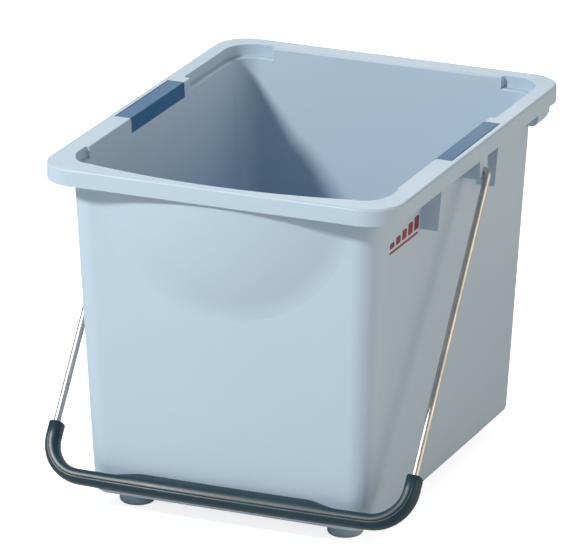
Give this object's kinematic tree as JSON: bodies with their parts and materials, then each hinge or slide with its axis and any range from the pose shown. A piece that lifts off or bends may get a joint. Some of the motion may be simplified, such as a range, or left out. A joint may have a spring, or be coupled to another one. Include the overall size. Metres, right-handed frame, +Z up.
{
  "type": "rectangular bucket with bail handle",
  "caption": "Open rectangular moulded bucket with a pouring bulge, a swinging wire bail with a moulded grip, colour clips in the rim and round feet.",
  "frame": {"origin": "on the floor under the middle of the tub", "axes": "+Z up, X along the bail's turning axis across the two colour clips, -Y towards the pouring bulge at the front"},
  "size_m": [0.3324, 0.4006, 0.304],
  "materials": {
    "tub_plastic": "satin pale blue-grey polypropylene, fine moulded texture",
    "clip_plastic": "satin steel-blue polypropylene",
    "wire_steel": "bright zinc-plated drawn wire",
    "grip_plastic": "satin dark slate plastic",
    "foot_plastic": "satin grey-blue plastic, a little darker than the tub"
  },
  "bodies": {
    "tub": {"tub": "tub_plastic", "colour_clip_left": "clip_plastic", "colour_clip_right": "clip_plastic", "foot_front_left": "foot_plastic", "foot_front_right": "foot_plastic", "foot_rear_left": "foot_plastic", "foot_rear_right": "foot_plastic"},
    "bail": {"bail_wire": "wire_steel", "bail_grip": "grip_plastic"}
  },
  "joints": [
    {"name": "bail_hinge", "type": "hinge", "parent": "tub", "child": "bail", "pos_m": [0, 0.0055, 0.279], "axis": [-1, 0, 0], "range_deg": [0, 290.2]}
  ]
}
